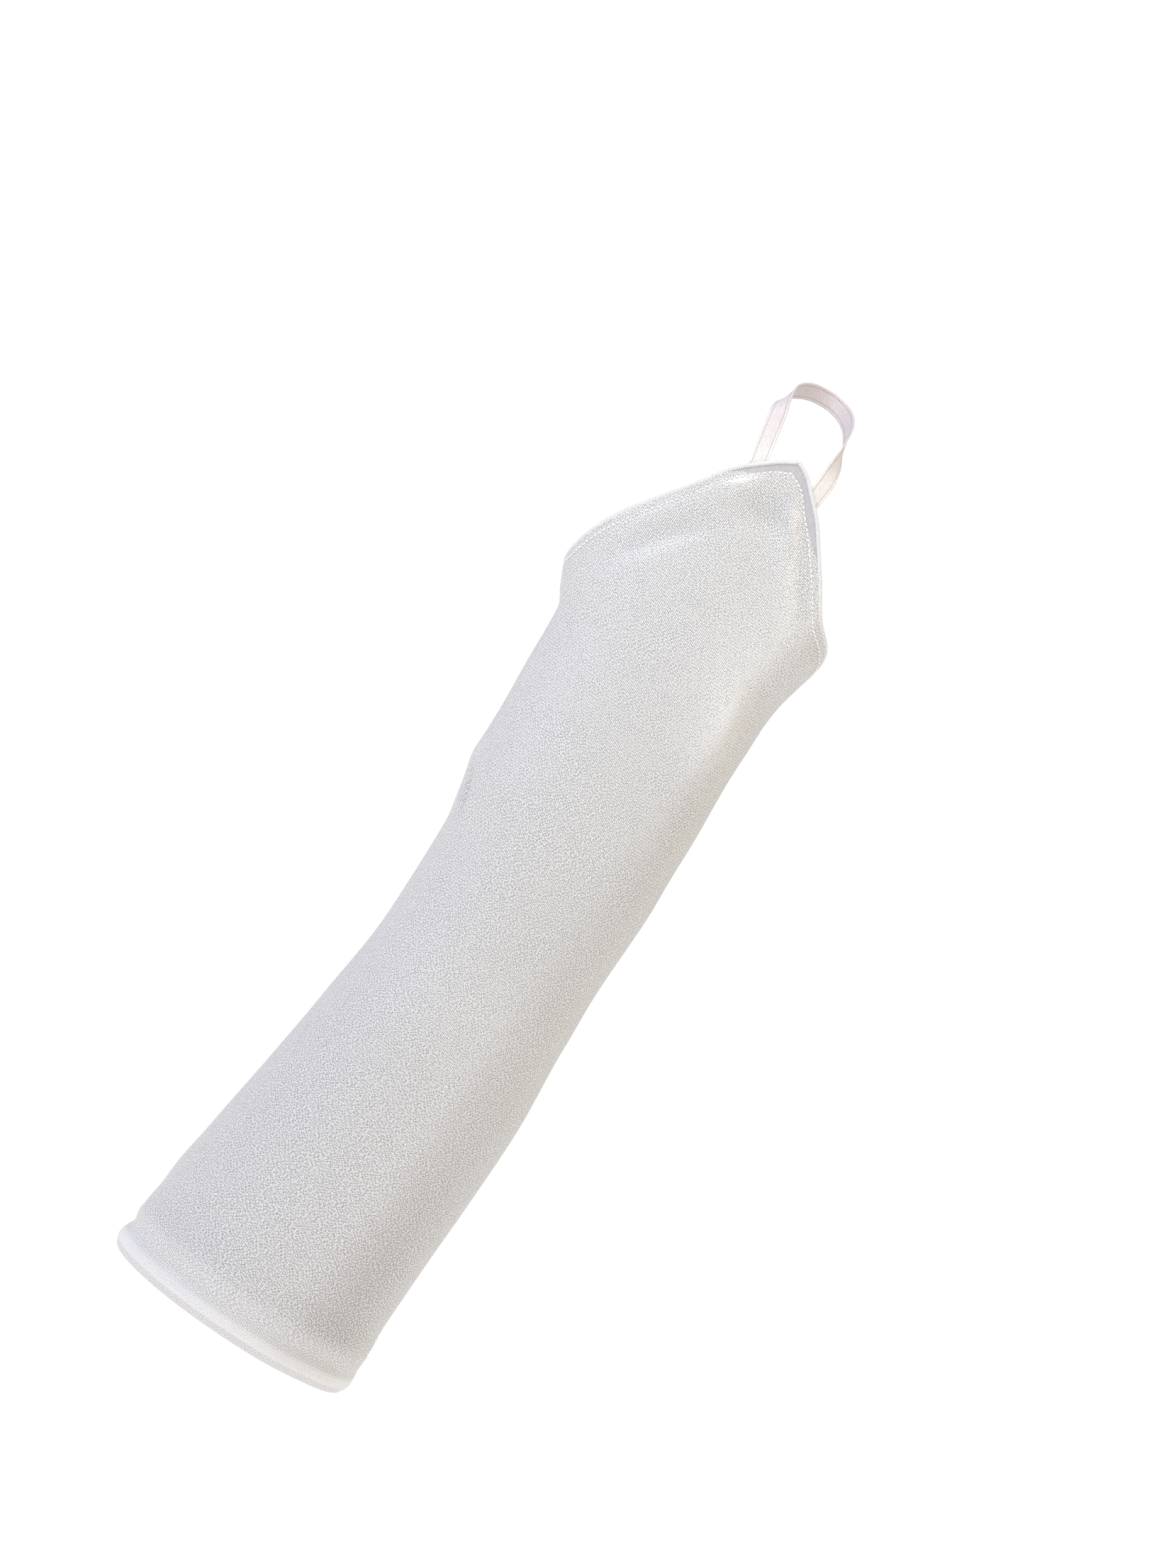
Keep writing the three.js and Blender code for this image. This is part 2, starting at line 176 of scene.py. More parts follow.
def curve_through(rows, place, column):
    """A smooth curve through one column of a table, with no overshoot between its rows."""
    at = np.array([row[place] for row in rows], float)
    value = np.array([row[column] for row in rows], float)
    gap = np.diff(at)
    slope = np.diff(value) / gap
    before, after = slope[:-1], slope[1:]
    same_way = before * after > 0
    inner = np.where(same_way, 2 * before * after / np.where(same_way, before + after, 1), 0)
    tangent = np.concatenate([slope[:1], inner, slope[-1:]])

    def curve(where):
        x = np.clip(where, at[0], at[-1])
        i = np.clip(np.searchsorted(at, x, side="right") - 1, 0, len(gap) - 1)
        t = (x - at[i]) / gap[i]
        rising = (3 - 2 * t) * t * t * (value[i + 1] - value[i])
        leaving = ((t - 2) * t + 1) * t * gap[i] * tangent[i]
        arriving = (t - 1) * t * t * gap[i] * tangent[i + 1]
        return value[i] + rising + leaving + arriving

    return curve


across_at = curve_through(SECTIONS, "at", "across")
through_at = curve_through(SECTIONS, "at", "through")
thumb_share_at = curve_through(SECTIONS, "at", "thumb")
back_share_at = curve_through(SECTIONS, "at", "back")
squareness_at = curve_through(SQUARENESS, "at", "of")
thumb_drop = curve_through(EDGE_DROP, "turn", "thumb")
little_drop = curve_through(EDGE_DROP, "turn", "little")


def signed(turn):
    """A share of the whole round as -0.5 to 0.5, with the thumb side positive."""
    return turn - np.round(turn)


def fold_rise(turn, height):
    """How far the folds raise the cloth there, in metres."""
    rise = 0
    for fold in FOLDS:
        above = height / POINT_HEIGHT - fold["at"]
        up = above / fold["tall"]
        beside = signed(turn - fold["turn"] - fold["slant"] * above) / fold["wide"]
        rise = rise + fold["rise"] * WRIST_DEPTH * np.exp(-up * up - beside * beside)
    return rise


def worn(turn, height, out=0.0):
    """Points of the worn sleeve's outer face, or out metres outside it."""
    turn, height, out = np.broadcast_arrays(*(np.asarray(part, float) for part in (turn, height, out)))
    angle = 2 * math.pi * (turn + POINT_TURN)
    at = height / POINT_HEIGHT
    proud = out + fold_rise(turn, height)
    side, front = np.sin(angle), np.cos(angle)
    side_share = np.where(side > 0, thumb_share_at(at), 1 - thumb_share_at(at))
    front_share = np.where(front > 0, back_share_at(at), 1 - back_share_at(at))
    side_radius = across_at(at) * side_share + proud
    front_radius = through_at(at) * front_share + proud
    beside = np.abs(side) ** ROUND_STEP
    squareness = squareness_at(at)
    before = (1 - np.minimum(beside, 1) ** squareness) ** (1 / squareness)
    x = -side_radius * np.sign(side) * beside
    y = -front_radius * np.sign(front) * before
    return np.stack([x, y, height], axis=-1)


def edge_height(turn):
    """The height of the hand edge."""
    half = 2 * signed(turn)
    drop = np.where(half > 0, thumb_drop(half), little_drop(-half))
    return POINT_HEIGHT - (POINT_HEIGHT - PALM_EDGE_HEIGHT) * drop


def edge_slant(turn):
    """How much longer a step down the arm is than a step square to the hand edge."""
    reach = 0.03  # turns to each side, so that the slant stays smooth at the point
    places = [worn(turn + step, edge_height(turn + step)) for step in (-reach, 0, reach)]

    def steepness(a, b):
        return np.abs(b[..., 2] - a[..., 2]) / np.hypot(b[..., 0] - a[..., 0], b[..., 1] - a[..., 1])

    return np.hypot(1, (steepness(places[0], places[1]) + steepness(places[1], places[2])) / 2)


def crowded(share):
    """Turns for even shares of the columns of faces, closer together at the point."""
    return share - CROWDING * np.sin(2 * math.pi * share) / (2 * math.pi)


def share_of_length(points):
    """How far along a row of points each one lies, from 0 to 1, and the length of the row."""
    steps = np.linalg.norm(np.diff(points, axis=0), axis=1)
    reached = np.concatenate([[0], np.cumsum(steps)])
    return reached / reached[-1], reached[-1]


# Wales lie evenly round the arm at every height, so places round it are also kept as shares of its length
ROUND_TURNS = np.linspace(-0.5, 0.5, 1441)
ROUND_HEIGHTS = np.linspace(0, POINT_HEIGHT, 29)
ROUND_SHARES = np.array([share_of_length(worn(ROUND_TURNS, height))[0] for height in ROUND_HEIGHTS])


def round_share(turn, height):
    """The share of the way round the arm at which a turn lies, at its height."""
    rows, columns = ROUND_SHARES.shape
    whole = np.round(turn)
    column = (turn - whole + 0.5) * (columns - 1)
    row = np.clip(height / POINT_HEIGHT, 0, 1) * (rows - 1)
    i = np.minimum(np.floor(row).astype(int), rows - 2)
    j = np.minimum(np.floor(column).astype(int), columns - 2)
    up, on = row - i, column - j
    lower = ROUND_SHARES[i, j] * (1 - on) + ROUND_SHARES[i, j + 1] * on
    upper = ROUND_SHARES[i + 1, j] * (1 - on) + ROUND_SHARES[i + 1, j + 1] * on
    return lower * (1 - up) + upper * up + whole


# The hand edge's own line, from the palm round by one side and over the point
EDGE_TURNS = np.linspace(-0.5, 0.5, 4001)
EDGE_SHARES, EDGE_LENGTH = share_of_length(worn(EDGE_TURNS, edge_height(EDGE_TURNS)))

RIBS = round(EDGE_LENGTH / RIB_PITCH)
POINT_SHARE = np.interp(0.0, EDGE_TURNS, EDGE_SHARES)
BARE_MIDDLE = 4 * MM  # of the stretch where the band is bare, from the point towards the little finger
BARE_REACH = 17 * MM  # of that stretch, each way
BARE_FADE = 2.2 * MM

# How far below the edge the stitches and the satin's top lie, at the bare stretch and beside it
STITCHES_BELOW = dict(flank=2.8 * MM, point=3.5 * MM)
CLOTH_BELOW = dict(flank=0.95 * MM, point=3.2 * MM)


def bare_band(along):
    """1 where the smooth band shows round the point, 0 where the satin covers it up to the rim."""
    from_middle = np.abs((POINT_SHARE - along) * EDGE_LENGTH - BARE_MIDDLE)
    return 1 / (1 + np.exp((from_middle - BARE_REACH) / BARE_FADE))


def below_for(places, along):
    """A distance below the edge, from its values at the flanks and at the point."""
    return places["flank"] + (places["point"] - places["flank"]) * bare_band(along)


def cloth_top(turn):
    """The height at which the satin ends, under the hand edge."""
    along = np.interp(signed(turn), EDGE_TURNS, EDGE_SHARES)
    return edge_height(turn) - below_for(CLOTH_BELOW, along) * edge_slant(turn)


def below_edge(along, below, out=0.0):
    """Points at shares along the hand edge, so far below it, square to it, and out from the cloth."""
    turn = np.interp(along % 1.0, EDGE_SHARES, EDGE_TURNS)
    return worn(turn, edge_height(turn) - below * edge_slant(turn), out)


def unit(vectors):
    """The vectors with a length of one."""
    return vectors / np.linalg.norm(vectors, axis=-1, keepdims=True)


def edge_axes(along, below, out=0.0):
    """Points below the hand edge with three directions there: on along it, out of the cloth, and up."""
    near = 0.0008  # of the edge's length, to each side
    place = below_edge(along, below, out)
    ahead, behind = below_edge(along + near, below, out), below_edge(along - near, below, out)
    onward = unit(ahead - behind)
    outward = unit(below_edge(along, below, out + MM) - place)
    upward = unit(np.cross(onward, outward))
    return place, onward, outward, upward * np.sign(upward[..., 2:3])


# Making of pieces


def finished(name, mesh, finish, replaces=()):
    """A piece of the object: its mesh, material, slot and the parts of the frame that it stands for."""
    piece = bpy.data.objects.new(name, mesh)
    bpy.context.scene.collection.objects.link(piece)
    mesh.materials.append(finish)
    mesh.polygons.foreach_set("use_smooth", np.ones(len(mesh.polygons), bool))
    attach(piece, "root")
    if replaces:
        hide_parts(*replaces)
    return piece


def solidify(piece, thickness, offset=-1.0):
    """Gives the cloth its thickness, inwards, or both ways with no offset."""
    wall = piece.modifiers.new("thickness", "SOLIDIFY")
    wall.thickness = thickness
    wall.offset = offset
    wall.use_even_offset = True


def positions(mesh):
    """The places of the mesh's points, one row for each."""
    numbers = np.zeros(3 * len(mesh.vertices))
    mesh.vertices.foreach_get("co", numbers)
    return numbers.reshape(-1, 3)


def warp(mesh, places):
    """Moves the mesh's points to new places."""
    mesh.vertices.foreach_set("co", np.ascontiguousarray(places).ravel())
    mesh.update()


def unwrap(mesh, u, v):
    """A UV map from the numbers u and v of each face corner."""
    layer = mesh.uv_layers.new(name="cloth")
    layer.data.foreach_set("uv", np.stack([u, v], axis=-1).ravel())


def corners(mesh):
    """The point that each face corner belongs to."""
    numbers = np.zeros(len(mesh.loops), int)
    mesh.loops.foreach_get("vertex_index", numbers)
    return numbers


def ring_tube(name, place, unwrapped, columns, rows, closed=False, lift=None):
    """A tube of quads round the arm. place gives its points from shares round it and along it, unwrapped
    their UV and lift how far each one is raised by a fold, which the satin paints as highlight and shade.
    A closed tube's last row is its first."""
    bm = bmesh.new()
    bmesh.ops.create_cone(bm, cap_ends=False, segments=columns, radius1=1, radius2=1, depth=1)
    lengthwise = [edge for edge in bm.edges if abs(edge.verts[0].co.z - edge.verts[1].co.z) > 0.5]
    bmesh.ops.subdivide_edges(bm, edges=lengthwise, cuts=rows - 1)
    mesh = bpy.data.meshes.new(name)
    bm.to_mesh(mesh)
    bm.free()

    co = positions(mesh)
    share = np.arctan2(-co[:, 0], -co[:, 1]) / (2 * math.pi)
    up = co[:, 2] + 0.5
    warp(mesh, place(share, up))
    if lift:
        mesh.attributes.new("lift", "FLOAT", "POINT").data.foreach_set("value", lift(share, up))

    corner = corners(mesh)
    at_corner = share[corner].reshape(-1, 4)
    at_corner = at_corner - np.round(at_corner - at_corner[:, :1])
    unwrap(mesh, *unwrapped(at_corner.ravel(), up[corner]))
    if closed:
        bm = bmesh.new()
        bm.from_mesh(mesh)
        bmesh.ops.remove_doubles(bm, verts=bm.verts, dist=1e-6)
        bm.to_mesh(mesh)
        bm.free()
    return mesh


# Finishes


class Wire:
    """A number in a material, so that shader maths reads as an expression."""

    def __init__(self, nodes, socket):
        self.nodes = nodes
        self.socket = socket

    def maths(self, operation, *others):
        """This number and up to two others through one Math node."""
        inputs = dict(enumerate((self, *others)))
        return self.nodes.node("ShaderNodeMath", {"operation": operation}, inputs)

    def __add__(self, other):
        return self.maths("ADD", other)

    def __sub__(self, other):
        return self.maths("SUBTRACT", other)

    def __mul__(self, other):
        return self.maths("MULTIPLY", other)

    def __pow__(self, other):
        return self.maths("POWER", other)

    def __rsub__(self, other):
        return self.nodes.node("ShaderNodeMath", {"operation": "SUBTRACT"}, {0: other, 1: self})

    __radd__ = __add__
    __rmul__ = __mul__

    def wave(self):
        """0 at every whole number and 1 halfway between."""
        return (self * math.pi).maths("SINE").maths("ABSOLUTE")

    def swell(self):
        """Half a unit up at every half number and half a unit down at every whole one."""
        return (self * (2 * math.pi)).maths("COSINE") * -0.5

    def floor(self):
        return self.maths("FLOOR")

    def step(self, low, high):
        """0 below low, 1 above high and smooth between."""
        return self.nodes.node(
            "ShaderNodeMapRange", {"interpolation_type": "SMOOTHSTEP"}, {0: self, 1: low, 2: high}
        )


def set_stops(ramp, stops):
    """Gives a new colour ramp its stops, each with a place from 0 to 1 and a colour."""
    for at, colour in stops[1:-1]:
        ramp.new(at).color = (*colour, 1)
    for end in (0, -1):
        ramp[end].position = stops[end][0]
        ramp[end].color = (*stops[end][1], 1)


class Nodes:
    """The nodes of a material or of the world."""

    def __init__(self, tree):
        self.tree = tree

    def node(self, kind, settings=None, inputs=None, output=0):
        """One output of a new node, which is given its settings and then its sockets' values or links."""
        made = self.tree.nodes.new(kind)
        for name, value in (settings or {}).items():
            if name == "stops":
                set_stops(made.color_ramp.elements, value)
            else:
                setattr(made, name, value)
        for socket, value in (inputs or {}).items():
            self.link(value, made.inputs[socket])
        return Wire(self, made.outputs[output])

    def link(self, value, socket):
        if isinstance(value, Wire):
            self.tree.links.new(value.socket, socket)
        elif isinstance(value, bpy.types.NodeSocket):
            self.tree.links.new(value, socket)
        else:
            socket.default_value = value

    def first_two(self, vector):
        """The first two numbers of a vector."""
        first = self.node("ShaderNodeSeparateXYZ", inputs={0: vector})
        return first, Wire(self, first.socket.node.outputs[1])

    def seen_as(self, lit, background):
        """The shader lit for the light that it gives, and background where the camera sees it."""
        camera_ray = self.node("ShaderNodeLightPath")
        return self.node("ShaderNodeMixShader", inputs={0: camera_ray, 1: lit, 2: background})


class Finish(Nodes):
    """A material with one Principled shader."""

    def __init__(self, name, **constants):
        self.material = bpy.data.materials.new(name)
        self.material.use_nodes = True
        super().__init__(self.material.node_tree)
        self.shader = self.tree.nodes["Principled BSDF"]
        for socket, value in constants.items():
            self.shader.inputs[socket.replace("_", " ")].default_value = value

    def coat(self, **values):
        """Links or sets sockets of the shader."""
        for socket, value in values.items():
            self.link(value, self.shader.inputs[socket.replace("_", " ")])

    def mix(self, amount, a, b):
        """Colour a where amount is 0 and b where it is 1."""
        return self.node("ShaderNodeMix", {"data_type": "RGBA"}, {0: amount, 6: a, 7: b}, output=2)

    def cloth_uv(self):
        """The two numbers of the piece's own map: on the sleeve, the share of the round and the height."""
        return self.first_two(self.node("ShaderNodeUVMap", {"uv_map": "cloth"}))

    def own_number(self, name):
        """A number that the mesh keeps for each of its points."""
        return self.node("ShaderNodeAttribute", {"attribute_name": name}, output=2)

    def chance(self, *places):
        """A random number for each whole step of one or two numbers."""
        steps = [place.floor() for place in places]
        if len(steps) == 1:
            return self.node("ShaderNodeTexWhiteNoise", {"noise_dimensions": "1D"}, {"W": steps[0]})
        cell = self.node("ShaderNodeCombineXYZ", inputs=dict(enumerate(steps)))
        return self.node("ShaderNodeTexWhiteNoise", {"noise_dimensions": "2D"}, {"Vector": cell})

    def odd_one(self, across, along):
        """How far the random number of each whole step stands above those of the four round it."""
        own = self.chance(across, along) ** 2
        round_it = ((1, 0), (-1, 0), (0, 1), (0, -1))
        beside = [self.chance(across + i, along + j) ** 2 for i, j in round_it]
        return own - 0.25 * (beside[0] + beside[1] + beside[2] + beside[3])

    def patches(self, scale, detail=2.0):
        """Soft noise in the object's own space, scale patches to a metre."""
        space = self.node("ShaderNodeTexCoord", output=3)
        return self.node("ShaderNodeTexNoise", inputs={"Vector": space, "Scale": scale, "Detail": detail})

    def bump(self, height, distance, strength):
        """Relief too fine to model, distance metres deep."""
        inputs = {"Height": height, "Distance": distance, "Strength": strength}
        self.coat(Normal=self.node("ShaderNodeBump", inputs=inputs))


def grey(level, warm=0.0):
    """A grey colour, or a slightly warm one."""
    return (level * (1 + warm), level, level * (1 - warm), 1.0)


def knitted_satin(name, dark, bright, fold=0.0):
    """White stretch satin: fine wales along the arm, with floating loops that catch the light here and
    there. The folds' rise is painted into its colour as highlight and shade. fold brightens it where it
    turns round the rim, partly for the doubled cloth there and partly as a painted highlight."""
    finish = Finish(name, Metallic=0.25, Sheen_Weight=0.12, Sheen_Roughness=0.35, Specular_IOR_Level=0.95)
    share, along = finish.cloth_uv()
    wale = share * WALES
    loop = along * (1 / LOOP_LENGTH)
    lines = wale.swell() + 0.3 * loop.swell()
    # Half loops that shine more or less than those beside them, and finer specks
    glint = finish.odd_one(wale, 2 * loop) * (0.5 + wale.swell()) * (0.75 + 0.5 * (2 * loop).swell())
    speck = finish.odd_one(2 * wale, 3 * loop)
    fibre = finish.patches(2600.0, 0.0) - 0.5
    # 1 where the wales stand out, in patches, and more so towards the hand
    crisp = (finish.patches(70.0) + 0.25 * along.step(0.14, 0.2)).step(0.45, 0.75)
    if fold:
        glint = glint * (0.25 + 0.75 * along.step(3.5 * MM, 7.5 * MM))
    shade = 0.5 + lines * (0.6 + 0.5 * crisp) + glint * (2.9 - 0.7 * crisp)
    # The folds' rise, painted in as highlight on swells and as shade in hollows
    shade = shade + speck * (0.7 - 0.2 * crisp) + 0.3 * fibre + 0.26 * finish.own_number("lift")
    if fold:
        # A band along the roll of the rim, partly the doubled cloth's own whiteness and partly a painted
        # highlight
        shade = shade + fold * along.step(0, 0.8 * MM) * (1 - along.step(2.4 * MM, 4.2 * MM))
    finish.coat(Base_Color=finish.mix(shade, grey(dark), grey(bright)), Roughness=0.36 - 0.3 * glint)
    finish.bump(0.5 * lines + 1.2 * glint + 0.3 * fibre, 0.06 * MM, 0.6)
    return finish.material


def band_satin():
    """The turned band inside the rim: smooth, with faint ribs square to the edge."""
    finish = Finish("band satin", Sheen_Weight=0.2, Sheen_Roughness=0.4)
    along, up = finish.cloth_uv()
    wale = along * (EDGE_LENGTH / BAND_WALE)
    loop = up * (1 / LOOP_LENGTH) + 3 * finish.chance(wale)
    luck = finish.chance(wale, loop) - 0.5
    ridge = wale.wave() - 0.64
    fibre = finish.patches(3600.0, 1.0) - 0.5
    shade = 0.38 + 0.2 * ridge + 0.15 * luck + 0.6 * fibre
    colour = finish.mix(shade, (0.41, 0.395, 0.415, 1), (0.79, 0.765, 0.8, 1))
    finish.coat(Base_Color=colour, Roughness=0.42 + 0.1 * luck)
    finish.bump(0.3 * ridge + 0.5 * fibre, 0.03 * MM, 0.5)
    return finish.material


def rim_thread():
    """The ribbed rim: bright threads wound over the fold."""
    finish = Finish("rim thread", Sheen_Weight=0.8, Sheen_Roughness=0.35, Specular_IOR_Level=0.8)
    along, round_rim = finish.cloth_uv()
    rib_place = along * RIBS + RIB_LEAN * round_rim
    rib = rib_place.wave()
    luck = finish.chance(rib_place)
    fibre = (along * (EDGE_LENGTH / RIM_FIBRE)).wave()
    shade = rib.step(0.15, 0.75) * (0.75 + 0.25 * luck)
    finish.coat(Base_Color=finish.mix(shade, grey(0.7), grey(1.0)), Roughness=0.4 - 0.1 * rib)
    finish.bump(fibre, 0.02 * MM, 0.5)
    return finish.material


def sewing_thread():
    """The bright thread of the stitches."""
    finish = Finish("sewing thread", Sheen_Weight=0.8, Sheen_Roughness=0.3, Specular_IOR_Level=0.8)
    patch = finish.patches(2500.0)
    finish.coat(Base_Color=finish.mix(patch, grey(0.93), grey(1.0)), Roughness=0.35 + 0.2 * patch)
    finish.bump(patch, 0.03 * MM, 0.6)
    return finish.material


def woven_ribbon():
    """Narrow woven satin ribbon: smooth floats, fine weft ribs and a row of tiny holes inside each edge.
    It has painted shade where it goes round the finger and a painted highlight at its sewn ends."""
    finish = Finish("ribbon satin", Sheen_Weight=0.2, Sheen_Roughness=0.3, Specular_IOR_Level=0.6)
    across, along = finish.cloth_uv()
    weft = (along * (1 / WEFT_PITCH)).wave()
    warp_thread = (across * WARPS).wave()
    hole_row = 1 - ((across - 0.5).maths("ABSOLUTE") - HOLE_ROW).maths("ABSOLUTE").step(0.0, 0.045)
    hole = hole_row * (along * (1 / HOLE_PITCH)).wave().step(0.45, 0.8)
    selvedge = 1 - across.wave().step(0.05, 0.4)
    luck = finish.chance(across * WARPS, along * (1 / FLOAT_LENGTH))
    shade = 0.55 + 0.25 * weft + 0.25 * luck + 0.15 * selvedge - 0.7 * hole
    # Painted highlight at the ends and painted shade round the finger, blended by the distance from the
    # ends
    sewn = finish.mix(shade, grey(0.36, 0.01), grey(0.98, 0.03))
    shaded_round = finish.mix(shade, (0.29, 0.25, 0.27, 1), (0.78, 0.71, 0.73, 1))
    from_middle = (along - RIBBON_LENGTH / 2).maths("ABSOLUTE")
    near_ends = from_middle.step(0.2 * RIBBON_LENGTH, 0.42 * RIBBON_LENGTH)
    colour = finish.mix(near_ends, shaded_round, sewn)
    finish.coat(Base_Color=colour, Roughness=0.3 + 0.15 * selvedge + 0.1 * luck)
    relief = 0.3 * weft + 0.25 * warp_thread + 0.7 * selvedge - 1.2 * hole
    finish.bump(relief, 0.05 * MM, 0.7)
    return finish.material


SATIN = knitted_satin("satin knit", 0.46, 1.0)
# fold: the painted highlight along the roll, partly the doubled cloth's own whiteness
DOUBLED_SATIN = knitted_satin("satin knit, two layers", 0.55, 1.0, fold=0.4)
BAND = band_satin()
RIM = rim_thread()
THREAD = sewing_thread()
RIBBON = woven_ribbon()

# The hem's line from the sleeve down its outer face, round the rim and up the turned-up inside.
# height is a share of HEM_DEPTH, and out, from the sleeve's line, is in shares of HEM_ROLL.
HEM_LINE = [
    dict(along=0, height=1.12, out=0.2),
    dict(along=0.06, height=1.0, out=0.44),
    dict(along=0.13, height=0.86, out=0.68),
    dict(along=0.24, height=0.6, out=0.64),
    dict(along=0.35, height=0.37, out=0.92),
    dict(along=0.42, height=0.22, out=0.98),
    dict(along=0.49, height=0.07, out=0.5),
    dict(along=0.525, height=-0.005, out=0.0),
    dict(along=0.56, height=0.02, out=-0.45),
    dict(along=0.61, height=0.13, out=-1.05),
    dict(along=0.75, height=0.45, out=-1.2),
    dict(along=1, height=0.97, out=-1.15),
]
PINCH = 0.75 * MM  # of the hem's waist, on the thumb side
PINCH_HEIGHT = 7.2 * MM
PINCH_SPREAD = 2.4 * MM
SLEEVE_TUCK = 1.5 * MM  # of the sleeve's foot, under the hem's top
SLEEVE_FLARE = 0.85 * MM  # of the sleeve, out to the hem's stitched line
FLARE_FADE = 5 * MM

# Puckers of the satin at its sewn edge: how far apart, how far they reach down from the stitches, and
# how far they swell
PUCKER_PITCH = 4.6 * MM
PUCKER_REACH = 5 * MM
PUFF = 0.08 * MM
GROOVE = 0.5 * MM  # half the width of the groove along the stitches

FULL_LIFT = 1.5 * MM  # of a fold at which its painted highlight is brightest, and as deep a hollow at which its painted shade is darkest


def puffed(turn, height):
    """The satin drawn in at its stitches and swelling just below them, more so in places."""
    along = np.interp(signed(turn), EDGE_TURNS, EDGE_SHARES)
    below = (edge_height(turn) - height) / edge_slant(turn) - below_for(STITCHES_BELOW, along)
    at = along * EDGE_LENGTH / PUCKER_PITCH
    # Two waves that never keep step, so that no pucker is like the next
    uneven = 0.65 + 0.3 * np.sin(2 * math.pi * at) + 0.3 * np.sin(2 * math.pi * 0.37 * at + 2)
    swell = below / PUCKER_REACH
    bulge = np.where(swell > 0, 1.6 * swell * np.exp(1 - 1.6 * swell), 0)
    groove = np.exp(-((below / GROOVE) ** 2))
    return PUFF * (uneven * bulge - 0.9 * groove)


def nearer_edge(up):
    """Rows of faces closer together towards the hand edge, where the stitches draw the satin in."""
    return 1 - (1 - up) ** 1.5


def sleeve():
    """The knitted tube, from under the hem's top to under the band."""
    foot = HEM_DEPTH - SLEEVE_TUCK

    def spot(share, up):
        turn = crowded(share)
        return turn, foot + (cloth_top(turn) - foot) * nearer_edge(up)

    def place(share, up):
        turn, height = spot(share, up)
        above = (height - HEM_DEPTH) / FLARE_FADE
        # Out to the hem's line, and drawn in below it so that the foot stays hidden
        flare = SLEEVE_FLARE * np.where(above > 0, np.exp(-above * above), 1 - 3 * above * above)
        return worn(turn, height, flare + puffed(turn, height))

    def unwrapped(share, up):
        turn, height = spot(share, up)
        return round_share(turn, height), height

    # How far the folds raise the cloth, for the painted highlight and shade in its colour
    def lift(share, up):
        return fold_rise(*spot(share, up)) / FULL_LIFT

    mesh = ring_tube("sleeve", place, unwrapped, columns=176, rows=250, lift=lift)
    piece = finished("sleeve", mesh, SATIN, ["satin_sleeve"])
    solidify(piece, SATIN_THICK)
    return piece


def hem():
    """The turned-up end of the sleeve, two layers thick."""
    height_at = curve_through(HEM_LINE, "along", "height")
    out_at = curve_through(HEM_LINE, "along", "out")
    line = np.linspace(0, 1, 400)
    outline = np.stack([height_at(line) * HEM_DEPTH, out_at(line) * HEM_ROLL], axis=-1)
    reached, length = share_of_length(outline)

    def place(share, up):
        along = np.interp(1 - up, reached, line)
        turn, height = crowded(share), height_at(along) * HEM_DEPTH
        pinch = PINCH * np.exp(-(((height - PINCH_HEIGHT) / PINCH_SPREAD) ** 2)) * (along < 0.5)
        thumb_side = (0.5 + 0.5 * np.sin(2 * math.pi * turn)) ** 3
        return worn(turn, height, out_at(along) * HEM_ROLL - pinch * thumb_side)

    def unwrapped(share, up):
        return round_share(crowded(share), 0 * up), HEM_DEPTH - (1 - up) * length

    mesh = ring_tube("hem", place, unwrapped, columns=240, rows=60)
    piece = finished("hem", mesh, DOUBLED_SATIN, ["elbow_hem"])
    solidify(piece, SATIN_THICK)
    return piece


def edge_band():
    """The turned band between the stitched line and the rim, with its inside."""

    def place(share, up):
        below = BAND_WIDTH * (1 - up) + BAND_INSET
        return below_edge(share + 0.5, below, -BAND_INSET)

    def unwrapped(share, up):
        return share, up * BAND_WIDTH

    mesh = ring_tube("edge_band", place, unwrapped, columns=480, rows=6)
    piece = finished("edge_band", mesh, BAND, ["hand_edge"])
    solidify(piece, BAND_THICK)
    return piece


def edge_rim():
    """The cord of thread over the folded edge, with its ribs leaning a little."""

    def place(share, up):
        spot, _, outward, upward = edge_axes(share + 0.5, RIM_RADIUS, -RIM_INSET)
        angle = 2 * math.pi * up
        rib = np.abs(np.sin(math.pi * (share * RIBS + RIB_LEAN * up)))
        radius = (RIM_RADIUS * (RIM_CORE + RIB_RISE * rib))[:, None]
        towards = RIM_PROUD * np.cos(angle)[:, None] * outward + np.sin(angle)[:, None] * upward
        return spot + radius * towards

    def unwrapped(share, up):
        return share, up

    mesh = ring_tube("edge_rim", place, unwrapped, columns=4 * RIBS, rows=9, closed=True)
    return finished("edge_rim", mesh, RIM)


# The ribbon's route: places in millimetres, from the end sewn on the thumb side round behind the finger,
# and the way the outer face looks there, in degrees from the back of the hand
RIBBON_ROUTE = [
    dict(x=-8.6, y=-13.5, z=257.5, facing=14),
    dict(x=-9.6, y=-12.75, z=262.0, facing=13),
    dict(x=-10.5, y=-12.65, z=266.2, facing=11),
    dict(x=-11.9, y=-12.6, z=272.5, facing=8),
    dict(x=-13.1, y=-11.9, z=278.5, facing=12),
    dict(x=-13.9, y=-9.6, z=282.6, facing=40),
    dict(x=-13.4, y=-5.6, z=285.6, facing=76),
    dict(x=-11.4, y=-0.4, z=287.9, facing=108),
    dict(x=-8.0, y=4.2, z=289.4, facing=142),
    dict(x=-3.6, y=6.6, z=289.9, facing=176),
    dict(x=0.4, y=5.2, z=289.2, facing=214),
    dict(x=3.6, y=1.0, z=287.3, facing=246),
    dict(x=5.4, y=-4.0, z=284.2, facing=268),
    dict(x=6.4, y=-8.2, z=280.2, facing=290),
    dict(x=7.0, y=-10.6, z=276.2, facing=316),
    dict(x=7.3, y=-12.4, z=271.5, facing=340),
    dict(x=7.0, y=-12.7, z=266.8, facing=347),
    dict(x=6.5, y=-12.7, z=262.0, facing=347),
    dict(x=5.9, y=-13.5, z=257.5, facing=348),
]


